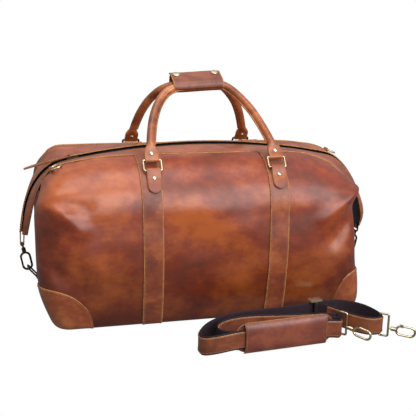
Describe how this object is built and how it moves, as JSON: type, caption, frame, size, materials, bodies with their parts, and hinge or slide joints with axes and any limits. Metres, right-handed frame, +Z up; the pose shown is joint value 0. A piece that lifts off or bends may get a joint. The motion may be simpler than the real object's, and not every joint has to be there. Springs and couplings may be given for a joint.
{
  "type": "weekender bag",
  "caption": "Zipped leather travel bag with ringed grab handles, a snapped grip wrap, clipped end wings, and its loose padded shoulder strap on the floor in front.",
  "frame": {"origin": "on the surface the bag stands on, under the middle of its base", "axes": "+Z up, +X along the bag's length to its right end, -Y towards its front"},
  "size_m": [0.7116, 0.4763, 0.4491],
  "materials": {
    "panel_leather": "waxed pull-up leather, mottled",
    "trim_leather": "waxed pull-up leather, stitched",
    "handle_leather": "rolled and stitched leather, waxed",
    "pad_leather": "waxed leather, stitched along both edges",
    "antique_brass": "antique brass, worn bright on its edges",
    "zip_tape": "woven polyester tape",
    "zip_coil": "nylon coil",
    "webbing": "cotton webbing, herringbone weave",
    "lining_cloth": "plain cotton twill",
    "board": "pressed polypropylene sheet"
  },
  "bodies": {
    "bag": {"back_chapes": "trim_leather", "back_corner_patches": "trim_leather", "back_left_band": "trim_leather", "back_panel": "panel_leather", "back_right_band": "trim_leather", "back_welt": "trim_leather", "back_zip_facing": "trim_leather", "base_board": "board", "base_panel": "panel_leather", "chape_rivets": "antique_brass", "d_ring_tabs": "trim_leather", "end_ring_tabs": "trim_leather", "front_chapes": "trim_leather", "front_corner_patches": "trim_leather", "front_left_band": "trim_leather", "front_panel": "panel_leather", "front_right_band": "trim_leather", "front_welt": "trim_leather", "front_zip_facing": "trim_leather", "left_end_panel": "panel_leather", "left_wing": "trim_leather", "lining": "lining_cloth", "right_end_panel": "panel_leather", "right_wing": "trim_leather", "shoulder_strap": "webbing", "strap_adjuster": "antique_brass", "strap_facing": "trim_leather", "wing_straps": "trim_leather", "zipper_coils": "zip_coil", "zipper_tapes": "zip_tape"},
    "front_rings": {"front_left_ring": "antique_brass", "front_right_ring": "antique_brass"},
    "back_rings": {"back_left_ring": "antique_brass", "back_right_ring": "antique_brass"},
    "front_handle": {"front_handle": "handle_leather", "front_handle_rivets": "antique_brass", "grip_wrap": "handle_leather"},
    "back_handle": {"back_handle": "handle_leather", "back_handle_rivets": "antique_brass"},
    "grip_flap": {"grip_flap": "handle_leather", "snap_caps": "antique_brass"},
    "zipper_slider": {"zipper_slider": "antique_brass"},
    "zipper_pull": {"zipper_pull": "trim_leather"},
    "shoulder_pad": {"shoulder_pad": "pad_leather"},
    "left_d_ring": {"left_d_ring": "antique_brass"},
    "left_end_hook": {"left_end_hook": "antique_brass"},
    "left_end_gate": {"left_end_gate": "antique_brass"},
    "left_end_ring": {"left_end_ring": "antique_brass"},
    "right_d_ring": {"right_d_ring": "antique_brass"},
    "right_end_hook": {"right_end_hook": "antique_brass"},
    "right_end_gate": {"right_end_gate": "antique_brass"},
    "right_end_ring": {"right_end_ring": "antique_brass"},
    "strap_loop_1": {"strap_loop_1": "antique_brass"},
    "strap_hook_1": {"strap_hook_1": "antique_brass"},
    "strap_gate_1": {"strap_gate_1": "antique_brass"},
    "strap_loop_2": {"strap_loop_2": "antique_brass"},
    "strap_hook_2": {"strap_hook_2": "antique_brass"},
    "strap_gate_2": {"strap_gate_2": "antique_brass"}
  },
  "joints": [
    {"name": "front_rings_hinge", "type": "hinge", "parent": "bag", "child": "front_rings", "pos_m": [0, -0.12516, 0.29043], "axis": [1, 0, 0], "range_deg": [0, 150], "deforming": ["grip_wrap", "grip_flap", "snap_caps"]},
    {"name": "front_handle_hinge", "type": "hinge", "parent": "front_rings", "child": "front_handle", "pos_m": [0, -0.11224, 0.30697], "axis": [1, 0, 0], "range_deg": [0, 24], "deforming": ["grip_wrap", "grip_flap", "snap_caps"]},
    {"name": "back_rings_hinge", "type": "hinge", "parent": "bag", "child": "back_rings", "pos_m": [0, 0.12516, 0.29043], "axis": [-1, 0, 0], "range_deg": [0, 150], "deforming": ["grip_wrap", "grip_flap", "snap_caps"]},
    {"name": "back_handle_hinge", "type": "hinge", "parent": "back_rings", "child": "back_handle", "pos_m": [0, 0.11224, 0.30697], "axis": [-1, 0, 0], "range_deg": [0, 24], "deforming": ["grip_wrap", "grip_flap", "snap_caps"]},
    {"name": "grip_flap_hinge", "type": "hinge", "parent": "front_handle", "child": "grip_flap", "pos_m": [0, -0.01873, 0.44426], "axis": [1, 0, 0], "range_deg": [0, 110]},
    {"name": "zip_slide", "type": "hinge", "parent": "bag", "child": "zipper_slider", "pos_m": [0, 0, -0.997], "axis": [0, 1, 0], "range_deg": [0, 21.6]},
    {"name": "zipper_pull_hinge", "type": "hinge", "parent": "zipper_slider", "child": "zipper_pull", "pos_m": [-0.25766, 0, 0.29711], "axis": [0, 1, 0], "range_deg": [0, 130]},
    {"name": "left_d_ring_hinge", "type": "hinge", "parent": "bag", "child": "left_d_ring", "pos_m": [-0.297, -0.064, 0.286], "axis": [0, 1, 0], "range_deg": [-165, 0]},
    {"name": "left_end_hook_hinge", "type": "hinge", "parent": "bag", "child": "left_end_hook", "pos_m": [-0.34989, 0, 0.12841], "axis": [0, 1, 0], "range_deg": [-1.5, 1.5]},
    {"name": "left_end_gate_hinge", "type": "hinge", "parent": "left_end_hook", "child": "left_end_gate", "pos_m": [-0.35256, 0, 0.0987], "axis": [0, -1, 0], "range_deg": [0, 20], "stiffness_Nm_per_rad": 0.002, "springref_deg": -17.19},
    {"name": "left_end_ring_hinge", "type": "hinge", "parent": "bag", "child": "left_end_ring", "pos_m": [-0.3215, 0, 0.06], "axis": [0, 1, 0], "range_deg": [-1.5, 1.5]},
    {"name": "right_d_ring_hinge", "type": "hinge", "parent": "bag", "child": "right_d_ring", "pos_m": [0.297, 0.064, 0.286], "axis": [0, 1, 0], "range_deg": [-165, 0]},
    {"name": "right_end_hook_hinge", "type": "hinge", "parent": "bag", "child": "right_end_hook", "pos_m": [0.34989, 0, 0.12841], "axis": [0, 1, 0], "range_deg": [-1.5, 1.5]},
    {"name": "right_end_gate_hinge", "type": "hinge", "parent": "right_end_hook", "child": "right_end_gate", "pos_m": [0.3359, 0, 0.10206], "axis": [0, -1, 0], "range_deg": [0, 20], "stiffness_Nm_per_rad": 0.002, "springref_deg": -17.19},
    {"name": "right_end_ring_hinge", "type": "hinge", "parent": "bag", "child": "right_end_ring", "pos_m": [0.3215, 0, 0.06], "axis": [0, 1, 0], "range_deg": [-1.5, 1.5]},
    {"name": "shoulder_pad_slide", "type": "slide", "parent": "bag", "child": "shoulder_pad", "axis": [0.9959, 0.0905, 0], "range_m": [-0.015, 0.005]},
    {"name": "strap_loop_1_hinge", "type": "hinge", "parent": "bag", "child": "strap_loop_1", "pos_m": [0.2036, -0.2556, 0.023], "axis": [0, 0, 1], "range_deg": [-12, 2]},
    {"name": "strap_hook_1_swivel", "type": "hinge", "parent": "strap_loop_1", "child": "strap_hook_1", "pos_m": [0.21662, -0.27201, 0.0173], "axis": [0.621, -0.7712, -0.1402], "continuous": true},
    {"name": "strap_gate_1_hinge", "type": "hinge", "parent": "strap_hook_1", "child": "strap_gate_1", "pos_m": [0.22954, -0.28806, 0.02297], "axis": [0.7789, 0.6272, 0], "range_deg": [0, 20], "stiffness_Nm_per_rad": 0.002, "springref_deg": -17.19},
    {"name": "strap_loop_2_hinge", "type": "hinge", "parent": "bag", "child": "strap_loop_2", "pos_m": [0.27412, -0.27927, 0.023], "axis": [0, 0, 1], "range_deg": [-10, 10]},
    {"name": "strap_hook_2_swivel", "type": "hinge", "parent": "strap_loop_2", "child": "strap_hook_2", "pos_m": [0.2914, -0.29097, 0.0173], "axis": [0.8973, -0.4187, -0.1396], "continuous": true},
    {"name": "strap_gate_2_hinge", "type": "hinge", "parent": "strap_hook_2", "child": "strap_gate_2", "pos_m": [0.31007, -0.29968, 0.02298], "axis": [0.4229, 0.9062, 0], "range_deg": [0, 20], "stiffness_Nm_per_rad": 0.002, "springref_deg": -17.19}
  ]
}
